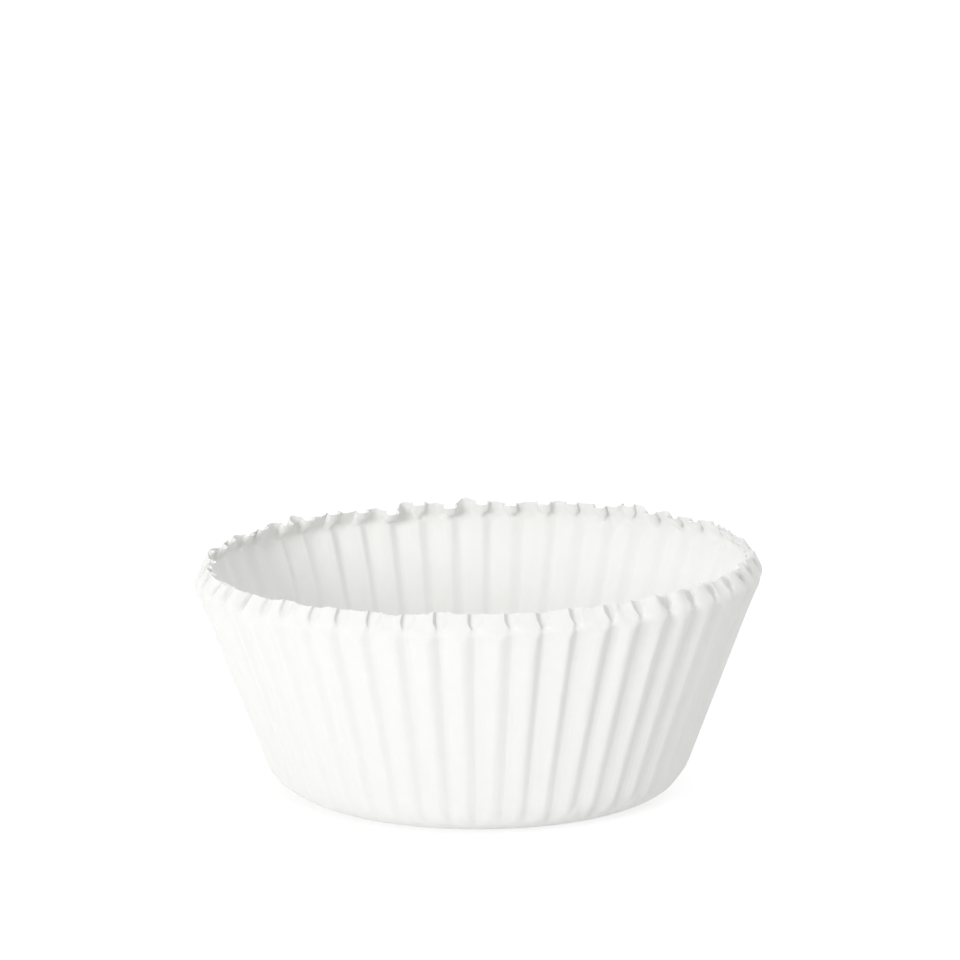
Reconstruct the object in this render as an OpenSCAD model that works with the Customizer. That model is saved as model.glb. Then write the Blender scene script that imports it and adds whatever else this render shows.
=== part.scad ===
// A pleated paper cupcake liner, pressed from one round sheet.
// Its outline is a chain of straight runs and arcs: floor, base bend, wall, flare, rim bend and lip.
// The pleats hang inwards from that outline. They start at the edge of the floor and deepen
// evenly up to the rim, because the sheet has more to spare the further it is from its centre.

/* [Base] */
// Diameter of the base, where the slope of the wall would meet the table
base_d = 50; // [40:0.5:60]
// Radius of the round bend between the floor and the wall
bend_r = 6.6; // [4:0.2:10]

/* [Wall] */
// Lean of the straight wall away from the vertical, in degrees
wall_lean = 20.7; // [12:0.1:28]
// Length of the straight wall, along its slope
wall_len = 18; // [10:0.5:30]
// Length of the flare above the straight wall, along its slope
flare_len = 5.6; // [3:0.1:10]
// Extra lean that the flare ends with, in degrees
flare_lean = 3; // [0:0.5:8]

/* [Rim] */
// Radius of the bend that turns the rim inwards, on the outside of the pleats
rim_bend_r = 1.8; // [1.6:0.1:3]
// Lean of the lip towards the middle, in degrees
lip_lean = 35; // [10:1:50]
// Length of the lip, from the rim bend to the cut edge
lip_len = 2.1; // [1:0.1:4]

/* [Pleats] */
// Number of pleats round the wall
pleats = 52; // [36:1:56]
// Depth of a pleat at the rim, measured square to the wall
pleat_depth = 1.3; // [0.6:0.05:1.5]
// Share of a pleat's pitch that its outer fold takes on the wall
fold_share = 0.44; // [0.3:0.01:0.5]
// Share of a pleat's pitch that its outer fold takes on the lip, where the pleats are pinched together
lip_fold_share = 0.64; // [0.4:0.01:0.68]

/* [Paper] */
// Thickness of the paper
paper_t = 0.1; // [0.08:0.01:0.14]

/* [Hidden] */
paper_color = [0.96, 0.96, 0.95];
// Share of a pleat's pitch that each of its two steep sides takes
side_share = 0.1;
// How far the middle of a fold stands proud of its shoulders, as a share of the pleat's depth
fold_crown = 0.14;

// Headings of the outline, in degrees from the horizontal: 0 points outwards and 90 points up
wall_heading = 90 - wall_lean;
flare_heading = wall_heading - flare_lean;
lip_heading = 90 + lip_lean;

// The floor ends where the base bend starts, so that the wall's slope still meets the table at base_d
floor_r = base_d / 2 - bend_r * tan(wall_heading / 2);

// Length of an arc that turns by some degrees
function arc_len(radius, degrees) = radius * degrees * PI / 180;

// Each run of the outline, from the centre to the cut edge: its name, its length, the heading that
// it starts with and the heading that it ends with
RUNS = [
    ["floor", floor_r, 0, 0],
    ["base bend", arc_len(bend_r, wall_heading), 0, wall_heading],
    ["wall", wall_len, wall_heading, wall_heading],
    ["flare", flare_len, wall_heading, flare_heading],
    ["rim bend", arc_len(rim_bend_r, lip_heading - flare_heading), flare_heading, lip_heading],
    ["lip", lip_len, lip_heading, lip_heading]
];

// Rings of folds, from the edge of the floor to the cut edge: a run, and the share of it that is done
RINGS = [
    ["base bend", 0], ["base bend", 0.4], ["base bend", 0.75],
    ["wall", 0],
    ["flare", 0],
    ["rim bend", 0], ["rim bend", 0.5],
    ["lip", 0], ["lip", 1]
];
last_ring = len(RINGS) - 1;

// What a share of a run adds to [radius, height]: a straight step, or the chord of an arc
function advance(run, share) =
    let (start = run[2], turn = run[3] - run[2], end = start + turn * share)
    turn == 0
        ? run[1] * share * [cos(start), sin(start)]
        : run[1] / (turn * PI / 180) * [sin(end) - sin(start), cos(start) - cos(end)];

// The run that a ring is on, and the outline's [radius, height] and heading at the ring
function run_of(ring) = search([ring[0]], RUNS)[0];
function run_start(i) = i == 0 ? [0, paper_t / 2] : run_start(i - 1) + advance(RUNS[i - 1], 1);
function outline(ring) = run_start(run_of(ring)) + advance(RUNS[run_of(ring)], ring[1]);
function heading(ring) = let (run = RUNS[run_of(ring)]) run[2] + (run[3] - run[2]) * ring[1];

// The length of paper between the centre and a ring
function length_before(i) = i == 0 ? 0 : length_before(i - 1) + RUNS[i - 1][1];
function paper_len(ring) = length_before(run_of(ring)) + RUNS[run_of(ring)][1] * ring[1];

// A pleat deepens evenly from the edge of the floor to the rim bend, and keeps its depth from there
rim_reach = paper_len(["rim bend", 0]) - floor_r;
function depth(ring) = pleat_depth * min(1, (paper_len(ring) - floor_r) / rim_reach);

// The outer folds widen round the rim bend, which leaves narrow slits between them on the lip
function pinch(ring) = ring[0] == "rim bend" ? ring[1] : ring[0] == "lip" ? 1 : 0;
function outer_share(ring) = fold_share + (lip_fold_share - fold_share) * pinch(ring);

// One pleat as points of [share of the pitch, share of the depth]: three on its outer fold, then
// three on its inner fold
function pleat(ring) =
    let (outer = outer_share(ring) / 2, inner = 0.5 - outer - side_share)
    [
        [-outer, fold_crown], [0, 0], [outer, fold_crown],
        [0.5 - inner, 1 - fold_crown], [0.5, 1], [0.5 + inner, 1 - fold_crown]
    ];
ring_points = pleats * len(pleat(RINGS[0]));

// A ring's points in the middle of the paper, as [x, y, z]
function middle(ring) =
    let (edge = outline(ring), h = heading(ring), d = depth(ring))
    [
        for (k = [0 : pleats - 1], point = pleat(ring))
            let (
                angle = 360 * (k + point[0]) / pleats,
                radius = edge[0] - d * point[1] * sin(h)
            )
            [radius * cos(angle), radius * sin(angle), edge[1] + d * point[1] * cos(h)]
    ];
MIDDLE = [for (ring = RINGS) middle(ring)];

// The step from the middle of the paper to its outer face at a point. It halves the angle between
// the panels on both sides, and is longer at a fold, so that the panels keep their thickness.
function unit(v) = v / norm(v);
function mitre(before, here, after) = (unit(here - before) + unit(after - here)) / 2;
function half_paper(i, j) =
    let (
        here = MIDDLE[i][j],
        left = MIDDLE[i][(j + ring_points - 1) % ring_points],
        right = MIDDLE[i][(j + 1) % ring_points],
        below = MIDDLE[i - 1][j],
        above = i == last_ring ? 2 * here - below : MIDDLE[i + 1][j],
        around = mitre(left, here, right),
        upwards = mitre(below, here, above)
    )
    paper_t / 2 * unit(cross(around, upwards)) / (norm(around) * norm(upwards));

// One face of the paper, with side 1 for the outer face and -1 for the inner one
function face(side) = [
    for (i = [0 : last_ring], j = [0 : ring_points - 1])
        MIDDLE[i][j] + side * (i == 0 ? [0, 0, -paper_t / 2] : half_paper(i, j))
];

// The triangles between two rings whose points start at a and b, seen from outside
function band(a, b) = [
    for (j = [0 : ring_points - 1])
        let (k = (j + 1) % ring_points)
        each [[a + j, b + j, b + k], [a + j, b + k, a + k]]
];

module liner() {
    inner_start = len(RINGS) * ring_points;
    underside = [for (j = [0 : ring_points - 1]) j];
    floor_top = [for (j = [ring_points - 1 : -1 : 0]) inner_start + j];
    outer_bands = [
        for (i = [0 : last_ring - 1])
            each band(i * ring_points, (i + 1) * ring_points)
    ];
    inner_bands = [
        for (i = [0 : last_ring - 1])
            each band(inner_start + (i + 1) * ring_points, inner_start + i * ring_points)
    ];
    cut_edge = band(last_ring * ring_points, inner_start + last_ring * ring_points);

    color(paper_color)
        polyhedron(
            points = concat(face(1), face(-1)),
            faces = concat([underside, floor_top], outer_bands, inner_bands, cut_edge)
        );
}

liner();
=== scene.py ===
"""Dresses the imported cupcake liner: one pleated sheet of white baking paper, standing on a pale floor."""

import bpy
import numpy as np
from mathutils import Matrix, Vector


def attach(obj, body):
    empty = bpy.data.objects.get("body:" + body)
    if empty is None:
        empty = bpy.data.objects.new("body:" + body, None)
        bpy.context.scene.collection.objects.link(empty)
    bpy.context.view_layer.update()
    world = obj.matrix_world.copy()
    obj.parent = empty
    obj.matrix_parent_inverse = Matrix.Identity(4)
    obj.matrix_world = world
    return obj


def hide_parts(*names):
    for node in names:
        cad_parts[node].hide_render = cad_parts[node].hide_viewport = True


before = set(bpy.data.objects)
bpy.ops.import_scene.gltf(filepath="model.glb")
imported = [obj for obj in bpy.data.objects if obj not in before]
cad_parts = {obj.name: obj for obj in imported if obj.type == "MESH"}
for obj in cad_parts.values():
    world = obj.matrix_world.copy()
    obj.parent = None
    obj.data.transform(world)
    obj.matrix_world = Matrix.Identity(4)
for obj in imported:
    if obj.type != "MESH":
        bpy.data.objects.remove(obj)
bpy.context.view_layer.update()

# The liner
# One round sheet of thin greaseproof paper, pressed hot between a fluted ram and a fluted ring.
# Nothing is glued: the pleats take up what the flat sheet has to spare, and the rim is turned
# inwards by the press, which pinches the pleats there into flat tabs with slits between them.
# Sizes are in millimetres, with lengths measured along the paper.
mm = 0.001  # in metres
base_d = 50.0  # across the base, where the slope of the wall would meet the table
bend_r = 6.6
wall_lean = 20.7  # degrees from the vertical
wall_len = 18.0
flare_len = 5.6
flare_lean = 3.0  # degrees added by the flare
rim_bend_r = 1.8
lip_lean = 35.0  # degrees towards the middle
lip_len = 2.1
paper_t = 0.1

wall_heading = np.radians(90 - wall_lean)
flare_heading = wall_heading - np.radians(flare_lean)
lip_heading = np.radians(90 + lip_lean)
floor_r = base_d / 2 - bend_r * np.tan(wall_heading / 2)

# The runs of the outline from the centre to the cut edge, and the headings where they join
runs = np.array([
    floor_r, bend_r * wall_heading, wall_len, flare_len, rim_bend_r * (lip_heading - flare_heading), lip_len
])
joins = np.concatenate([[0], np.cumsum(runs)])
headings = np.array([0, 0, wall_heading, wall_heading, flare_heading, lip_heading, lip_heading])
floor_end, rim_start, lip_start, cut_edge = joins[[1, 4, 5, 6]]
longest_tab = 1.0  # past the cut edge, which is more than any tab reaches
outline_steps = 8000


def outline(s):
    """Radius, height and heading of the outer folds at s mm of paper from the centre.

    The heading changes evenly between the joins of the runs. The radius is the running sum of
    its cosine, and the height is the running sum of its sine.
    """
    along = np.linspace(0, cut_edge + longest_tab, outline_steps + 1)
    turn = np.interp(along, joins, headings)
    middle = (turn[1:] + turn[:-1]) / 2
    radius = np.concatenate([[0], np.cumsum(np.cos(middle))]) * along[1]
    height = np.concatenate([[0], np.cumsum(np.sin(middle))]) * along[1] + paper_t / 2
    return np.interp(s, along, radius), np.interp(s, along, height), np.interp(s, along, turn)


# The pleats, as the press forms them. The pitch is one pleat, from the middle of a groove to the next.
pleats = 52
pleat_depth = 0.67  # of the outer folds above the grooves between them, at the rim
fold_share = 0.49  # of the pitch that an outer fold takes on the wall, to the middle of its sides
side_share = 0.55  # of the pitch that each side of a fold takes on the wall
crown_share = 0.25  # of the depth that rounds the tops of the folds
crest_lean = 0.125  # of the pitch that the press pushes the crests of the folds to the right
lip_share = 0.82  # of the pitch that an outer fold takes on the lip
slit_side = 0.1  # of the pitch that each side of a slit takes
slit_depth = 1.3  # times the depth of the folds at the rim


def smooth(t):
    """0 below 0, 1 above 1, and 3t^2 - 2t^3 between."""
    t = np.clip(t, 0, 1)
    return t * t * (3 - 2 * t)


def hump(distance, reach):
    """1 at no distance, falling off as a bell curve."""
    return np.exp(-(distance / reach) ** 2)


def at_folds(values, p):
    """One value for each outer and inner fold in turn, eased from fold to fold round the liner."""
    fold = np.floor(2 * p).astype(int)
    ease = smooth(2 * p - fold)
    return values[fold % len(values)] * (1 - ease) + values[(fold + 1) % len(values)] * ease


def fold_wave(p, share, side, lean):
    """Depth of a pleat as a share of its whole depth, where p counts pleats round the liner.

    It is 0 on the outer folds and 1 on the inner ones, with an S-shaped ramp at their sides,
    and a share of a plain cosine wave is mixed in to round their tops. The lean moves the crest
    of an outer fold by lean, and places nearer to the inner folds by less.
    """
    q = p - np.round(p)
    q = q - lean * (1 - 4 * q * q)
    ramp = smooth((np.abs(q) - share / 2) / side + 0.5)
    return (1 - crown_share) * ramp + crown_share * (1 - np.cos(2 * np.pi * q)) / 2


columns_per_pleat = 24
samples_per_pleat = 2000


def columns_along_a_pleat():
    """Places of the columns in one pleat, spaced evenly along the paper of the folds and of the slits."""
    p = np.linspace(0, 1, samples_per_pleat + 1)
    pitch = 2 * np.pi * outline(rim_start)[0] / pleats
    fold = pleat_depth * fold_wave(p, fold_share, side_share, crest_lean)
    slit = pleat_depth * slit_depth * fold_wave(p, lip_share, slit_side, 0)
    steps = np.hypot(np.diff(p) * pitch, np.diff(fold)) + np.hypot(np.diff(p) * pitch, np.diff(slit))
    paper = np.concatenate([[0], np.cumsum(steps)])
    return np.interp(np.arange(columns_per_pleat) / columns_per_pleat * paper[-1], paper, p)


# From the floor up, the pleats start as narrow tips above a smooth band, and deepen up the wall.
smooth_band = 4.5  # of the base bend, below the lower tips of the inner folds
fold_start = 1.0  # over which the folds deepen above the smooth band
tip_len = 2.6  # over which an inner fold narrows down to its tip
tip_share = 0.82  # of the pitch that an outer fold takes beside the tips
deepening = 0.58  # power of the way up the wall that the depth of the folds grows with

# At the rim, the press pinches the inner folds to slits, and drives these in under the tabs.
pinch_reach = 0.5  # how far the pinch of the lip spreads on both sides of the rim bend
buckle = 0.35  # share of its depth that an inner fold loses where the rim bends
buckle_reach = 0.45  # how far that loss spreads from the middle of the rim bend
slit_reach = 0.8  # of the lip, over which a slit comes to its full depth
undercut = 0.4  # of the pitch, how far the press drives the bottom of a slit under the tabs
edge_dip = 0.28  # how much shorter a tab is in its middle, where the rim bend uses up more paper
horn = 0.12  # how much longer a tab is at its two corners
horn_inset = 0.05  # of the pitch, from the side of a slit to the middle of a horn
horn_reach = 0.06  # of the pitch
fray = 0.04  # how unevenly the press cuts the edge, from column to column
rim_roll = 1.3  # degrees that the rim is off level, higher on the right

# How each fold differs from the even pattern, for the outer and inner folds in turn
rng = np.random.default_rng(48)
folds = 2 * pleats
shift_low = rng.normal(0, 0.03, folds)  # of the pitch that it strays to the side at the foot of the wall
shift_high = rng.normal(0, 0.035, folds)  # the same at the rim
depth_change = rng.normal(0, 0.09, folds)  # share that it is deeper
sink = rng.normal(0, 0.05, folds)  # mm that it lies further in at the rim
lip_tilt = rng.normal(0, 0.08, folds)  # mm that it tilts further in, for each mm above the wall
trim = rng.normal(0, 0.07, folds)  # mm that its cut edge is higher
start_change = rng.normal(0, 0.6, folds)  # mm that it starts higher
share_change = rng.normal(0, 0.05, folds)  # of the pitch that an outer fold is wider
frayed = rng.normal(0, fray, pleats * columns_per_pleat)

rows_in_runs = [12, 6, 4, 8, 5]  # from the base bend to the lip
floor_row = 0.5  # inside the edge of the floor, a row that keeps the floor flat
edge_row = 0.04  # below the cut edge, a row that keeps the edge crisp


def liner_grid():
    """The middle of the paper, as rows from the centre of the floor to the cut edge.

    A point starts on the outline at its length of paper s, and moves inwards by the depth of its
    fold, square to the outline. Its angle is its place p in pleats, with what the fold strays.
    """
    p = (np.arange(pleats)[:, None] + columns_along_a_pleat()).ravel()
    in_runs = [
        np.linspace(start, end, rows, endpoint=False)
        for start, end, rows in zip(joins[1:], joins[2:], rows_in_runs)
    ]
    on_floor = [floor_end / 2, floor_end - floor_row]
    at_edge = [cut_edge - edge_row, cut_edge]
    s = np.concatenate([on_floor, *in_runs, at_edge])[:, None]

    past_tip = s - floor_end - smooth_band - at_folds(start_change, p)
    tip = 1 - smooth(past_tip / tip_len)
    up = np.clip((s - floor_end) / (rim_start - floor_end), 0, 1) ** deepening * smooth(past_tip / fold_start)
    pinched = smooth((s - rim_start + pinch_reach) / (lip_start - rim_start + 2 * pinch_reach))
    on_lip = smooth((s - lip_start) / (cut_edge - lip_start))

    share = fold_share + at_folds(share_change, p)
    share = share + (lip_share - share) * pinched + (tip_share - share) * tip
    side = side_share + (slit_side - side_share) * pinched
    wave = fold_wave(p, share, side, crest_lean * (1 - pinched))

    depth = pleat_depth * up * (1 + at_folds(depth_change, p)) * wave
    deeper = (slit_depth - 1) * smooth((s - lip_start) / slit_reach)
    shallower = buckle * hump(s - (rim_start + lip_start) / 2, buckle_reach)
    depth *= 1 + deeper - shallower
    depth += up * at_folds(sink, p) + np.clip(s - rim_start, 0, None) * at_folds(lip_tilt, p)

    corners = horn * hump(np.abs(p % 1 - 0.5) - (1 - lip_share) / 2 - horn_inset, horn_reach)
    s = s + on_lip * (at_folds(trim, p) - edge_dip * (1 - wave) + corners + frayed)
    radius, height, heading = outline(s)

    strayed = at_folds(shift_low, p) * (1 - up) + at_folds(shift_high, p) * up
    tucked = undercut * smooth((s - lip_start) / slit_reach) * wave * np.sin(2 * np.pi * p)
    angle = 2 * np.pi * (p + strayed - tucked) / pleats
    radius = radius - depth * np.sin(heading)
    height = height + depth * np.cos(heading) + np.tan(np.radians(rim_roll)) * radius * np.cos(angle) * up
    return np.stack([radius * np.cos(angle), radius * np.sin(angle), height], axis=-1)


def paper_mesh(name, grid, thickness):
    """A closed shell of even thickness about a grid of rows that ring a pole.

    Both faces are the grid moved half the thickness along its normal, which is the cross product
    of the steps round a row and from row to row. A fan closes each face at the pole.
    """
    around = np.roll(grid, -1, axis=1) - np.roll(grid, 1, axis=1)
    outwards = np.gradient(grid, axis=0)
    normal = np.cross(around, outwards)
    normal /= np.linalg.norm(normal, axis=-1, keepdims=True)
    rows, columns = grid.shape[:2]
    pole = np.array([[0, 0, grid[0, 0, 2]]])
    drop = np.array([[0, 0, thickness / 2]])
    outer = (grid + normal * thickness / 2).reshape(-1, 3)
    inner = (grid - normal * thickness / 2).reshape(-1, 3)
    points = np.concatenate([outer, pole - drop, inner, pole + drop])

    near = (np.arange(rows - 1)[:, None] * columns + np.arange(columns)).ravel()
    beside = (np.arange(rows - 1)[:, None] * columns + (np.arange(columns) + 1) % columns).ravel()
    outer_quads = np.stack([near, beside, beside + columns, near + columns], axis=1)
    second = len(outer) + 1
    inner_quads = outer_quads[:, ::-1] + second
    ring = np.arange(columns)
    after = (ring + 1) % columns
    last = (rows - 1) * columns
    edge_quads = np.stack([last + ring, last + after, second + last + after, second + last + ring], axis=1)
    outer_fan = np.stack([np.full(columns, len(outer)), after, ring], axis=1)
    inner_fan = np.stack([np.full(columns, second + len(inner)), second + ring, second + after], axis=1)

    parts = outer_quads, inner_quads, edge_quads, outer_fan, inner_fan
    mesh = bpy.data.meshes.new(name)
    mesh.from_pydata(points * mm, [], [face.tolist() for part in parts for face in part])
    mesh.shade_smooth()
    mesh.validate()
    return mesh


liner = bpy.data.objects.new("pleated_paper", paper_mesh("pleated_paper", liner_grid(), paper_t))
bpy.context.collection.objects.link(liner)


def baking_paper():
    """White paper that lets some light through, with cloudy fibres and a slight glaze.

    The tone is noise between two whites. The relief is three noises, one on another: a fine
    grain all over, marks drawn out along the folds, and wrinkles drawn out round the base bend.
    """
    material = bpy.data.materials.new("baking_paper")
    material.use_nodes = True
    nodes, links = material.node_tree.nodes, material.node_tree.links
    nodes.clear()

    def noise(at, scale, detail):
        """Soft noise at a place, with scale as the number of its cells to each unit of length."""
        texture = nodes.new("ShaderNodeTexNoise")
        texture.inputs["Scale"].default_value = scale
        texture.inputs["Detail"].default_value = detail
        links.new(at, texture.inputs["Vector"])
        return texture.outputs["Fac"]

    def drawn_out(at, cells):
        """A place times the number of noise cells that a unit of length takes on X, Y and Z."""
        times = nodes.new("ShaderNodeVectorMath")
        times.operation = "MULTIPLY"
        times.inputs[1].default_value = cells
        links.new(at, times.inputs[0])
        return times.outputs["Vector"]

    def relief(height, metres):
        """A bump that rises by so many metres where height is 1."""
        bump = nodes.new("ShaderNodeBump")
        bump.inputs["Distance"].default_value = metres
        links.new(height, bump.inputs["Height"])
        return bump

    where = nodes.new("ShaderNodeTexCoord").outputs["Object"]
    tone = nodes.new("ShaderNodeMix")
    tone.data_type = "RGBA"
    tone.inputs["A"].default_value = (0.925, 0.925, 0.915, 1)
    tone.inputs["B"].default_value = (0.95, 0.95, 0.942, 1)
    links.new(noise(where, 700, 4), tone.inputs["Factor"])

    grain = relief(noise(where, 2600, 3), 0.00004)
    grain.inputs["Strength"].default_value = 0.25

    # Both kinds of press marks take their place from the direction out of the axis and the height.
    axes = nodes.new("ShaderNodeSeparateXYZ")
    links.new(where, axes.inputs["Vector"])
    level = nodes.new("ShaderNodeCombineXYZ")
    links.new(axes.outputs["X"], level.inputs["X"])
    links.new(axes.outputs["Y"], level.inputs["Y"])
    direction = nodes.new("ShaderNodeVectorMath")
    direction.operation = "NORMALIZE"
    links.new(level.outputs["Vector"], direction.inputs[0])
    upright = nodes.new("ShaderNodeCombineXYZ")
    links.new(axes.outputs["Z"], upright.inputs["Z"])
    place = nodes.new("ShaderNodeVectorMath")
    place.operation = "ADD"
    links.new(direction.outputs["Vector"], place.inputs[0])
    links.new(upright.outputs["Vector"], place.inputs[1])

    # Faint marks along the folds, which fade in from 1 to 5 mm above the floor
    folded = relief(noise(drawn_out(place.outputs["Vector"], (75, 75, 150)), 1, 2), 0.0001)
    off_floor = nodes.new("ShaderNodeMapRange")
    off_floor.inputs["From Min"].default_value = 0.001
    off_floor.inputs["From Max"].default_value = 0.005
    off_floor.inputs["To Max"].default_value = 0.5
    links.new(axes.outputs["Z"], off_floor.inputs["Value"])
    links.new(off_floor.outputs["Result"], folded.inputs["Strength"])
    links.new(grain.outputs["Normal"], folded.inputs["Normal"])

    # Thin wrinkles round the base bend, up to 4 mm above the floor and not on the floor itself
    wrinkled = relief(noise(drawn_out(place.outputs["Vector"], (7, 7, 2600)), 1, 2), 0.0002)
    rise = nodes.new("ShaderNodeMapRange")
    rise.inputs["From Max"].default_value = 0.004
    links.new(axes.outputs["Z"], rise.inputs["Value"])
    in_bend = nodes.new("ShaderNodeValToRGB")
    in_bend.color_ramp.elements[0].position = 0.05
    in_bend.color_ramp.elements[0].color = (0, 0, 0, 1)
    in_bend.color_ramp.elements[1].position = 1.0
    in_bend.color_ramp.elements[1].color = (0, 0, 0, 1)
    in_bend.color_ramp.elements.new(0.3).color = (0.8, 0.8, 0.8, 1)
    links.new(rise.outputs["Result"], in_bend.inputs["Fac"])
    links.new(in_bend.outputs["Color"], wrinkled.inputs["Strength"])
    links.new(folded.outputs["Normal"], wrinkled.inputs["Normal"])

    face = nodes.new("ShaderNodeBsdfPrincipled")
    face.inputs["Roughness"].default_value = 0.62
    face.inputs["Diffuse Roughness"].default_value = 1.0
    face.inputs["Specular IOR Level"].default_value = 0.3
    links.new(tone.outputs["Result"], face.inputs["Base Color"])
    links.new(wrinkled.outputs["Normal"], face.inputs["Normal"])
    through = nodes.new("ShaderNodeBsdfTranslucent")
    links.new(tone.outputs["Result"], through.inputs["Color"])
    links.new(wrinkled.outputs["Normal"], through.inputs["Normal"])
    both = nodes.new("ShaderNodeMixShader")
    both.inputs["Fac"].default_value = 0.3
    links.new(face.outputs["BSDF"], both.inputs[1])
    links.new(through.outputs["BSDF"], both.inputs[2])
    out = nodes.new("ShaderNodeOutputMaterial")
    links.new(both.outputs["Shader"], out.inputs["Surface"])
    return material


liner.data.materials.append(baking_paper())
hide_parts("liner")
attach(liner, "root")

# The floor
# A wide matt sheet that the liner stands on. It glows a little, and a little more to the
# camera, so that it comes out white and still holds the liner's soft shadow.
half = 4.0  # metres from the middle to an edge
floor_mesh = bpy.data.meshes.new("floor")
floor_corners = [(-half, -half, 0), (half, -half, 0), (half, half, 0), (-half, half, 0)]
floor_mesh.from_pydata(floor_corners, [], [(0, 1, 2, 3)])
floor = bpy.data.objects.new("floor", floor_mesh)
bpy.context.collection.objects.link(floor)


def seen(nodes, links):
    """1 for a ray from the camera, straight, reflected or through the paper, and 0 for any other."""
    path = nodes.new("ShaderNodeLightPath")
    either = path.outputs["Is Camera Ray"]
    for kind in ("Is Glossy Ray", "Is Transmission Ray"):
        greater = nodes.new("ShaderNodeMath")
        greater.operation = "MAXIMUM"
        links.new(either, greater.inputs[0])
        links.new(path.outputs[kind], greater.inputs[1])
        either = greater.outputs["Value"]
    return either


def floor_white():
    """Matt grey with a glow added, which is stronger for the rays that are seen."""
    material = bpy.data.materials.new("floor_white")
    material.use_nodes = True
    nodes, links = material.node_tree.nodes, material.node_tree.links
    nodes.clear()
    strength = nodes.new("ShaderNodeMapRange")
    strength.inputs["To Min"].default_value = 0.325
    strength.inputs["To Max"].default_value = 0.62
    links.new(seen(nodes, links), strength.inputs["Value"])
    glow = nodes.new("ShaderNodeEmission")
    links.new(strength.outputs["Result"], glow.inputs["Strength"])
    matt = nodes.new("ShaderNodeBsdfDiffuse")
    matt.inputs["Color"].default_value = (0.5, 0.5, 0.5, 1)
    both = nodes.new("ShaderNodeAddShader")
    links.new(matt.outputs["BSDF"], both.inputs[0])
    links.new(glow.outputs["Emission"], both.inputs[1])
    out = nodes.new("ShaderNodeOutputMaterial")
    links.new(both.outputs["Shader"], out.inputs["Surface"])
    return material


floor_mesh.materials.append(floor_white())

# The light
# A large soft lamp in front on the left, and a pale room all round that is brightest overhead and
# brighter on the right and behind than on the lamp's side. The camera sees the room as white.
scene = bpy.context.scene
scene.view_settings.view_transform = "Standard"
world = bpy.data.worlds.new("room")
scene.world = world
world.use_nodes = True
room_nodes, room_links = world.node_tree.nodes, world.node_tree.links
room_mean = 0.56  # strength on the level, halfway between the bright side and the dim one
room_slope = (0.2807, 0.0996, 0.3924)  # strength added towards the right, the back and the top

room_way = room_nodes.new("ShaderNodeTexCoord")
room_rise = room_nodes.new("ShaderNodeVectorMath")
room_rise.operation = "DOT_PRODUCT"
room_rise.inputs[1].default_value = room_slope
room_links.new(room_way.outputs["Generated"], room_rise.inputs[0])
room_glow = room_nodes.new("ShaderNodeMath")
room_glow.operation = "ADD"
room_glow.inputs[1].default_value = room_mean
room_links.new(room_rise.outputs["Value"], room_glow.inputs[0])
room_strength = room_nodes.new("ShaderNodeMapRange")
room_strength.inputs["To Max"].default_value = 1.0
room_links.new(seen(room_nodes, room_links), room_strength.inputs["Value"])
room_links.new(room_glow.outputs["Value"], room_strength.inputs["To Min"])
room = room_nodes["Background"]
room.inputs["Color"].default_value = (1, 1, 1, 1)
room_links.new(room_strength.outputs["Result"], room.inputs["Strength"])

key = bpy.data.lights.new("key", "AREA")
key.shape = "DISK"
key.size = 0.5  # metres across
key.energy = 7.15  # watts
key_lamp = bpy.data.objects.new("key", key)
key_lamp.location = (-0.640, -0.971, 0.356)
bpy.context.collection.objects.link(key_lamp)


def aim(thing, target):
    """Turns a lamp or the camera so that its -Z axis points at target, with its Y axis up."""
    way = Vector(target) - thing.location
    thing.rotation_euler = way.to_track_quat("-Z", "Y").to_euler()


aim(key_lamp, (0, 0, 0.015))

# The camera
# A long lens a little above the rim, as the photograph was taken. The middle of its frame is
# above the liner, which leaves the upper part of the picture empty.
camera_distance = 600.0  # mm
camera_rise = np.radians(11.0)
camera_turn = np.radians(-3.0)  # to the left
px_per_mm = 8.06  # at the liner's axis
frame_px = 960
sensor = 36.0
aim_at = np.array([0.21, 0.0, 39.0])

lens = bpy.data.cameras.new("camera")
lens.sensor_width = sensor
lens.lens = sensor * px_per_mm * camera_distance / frame_px
camera = bpy.data.objects.new("camera", lens)
away = np.array([
    np.cos(camera_rise) * np.sin(camera_turn), -np.cos(camera_rise) * np.cos(camera_turn), np.sin(camera_rise)
])
camera.location = (aim_at + camera_distance * away) * mm
bpy.context.collection.objects.link(camera)
aim(camera, aim_at * mm)
scene.camera = camera
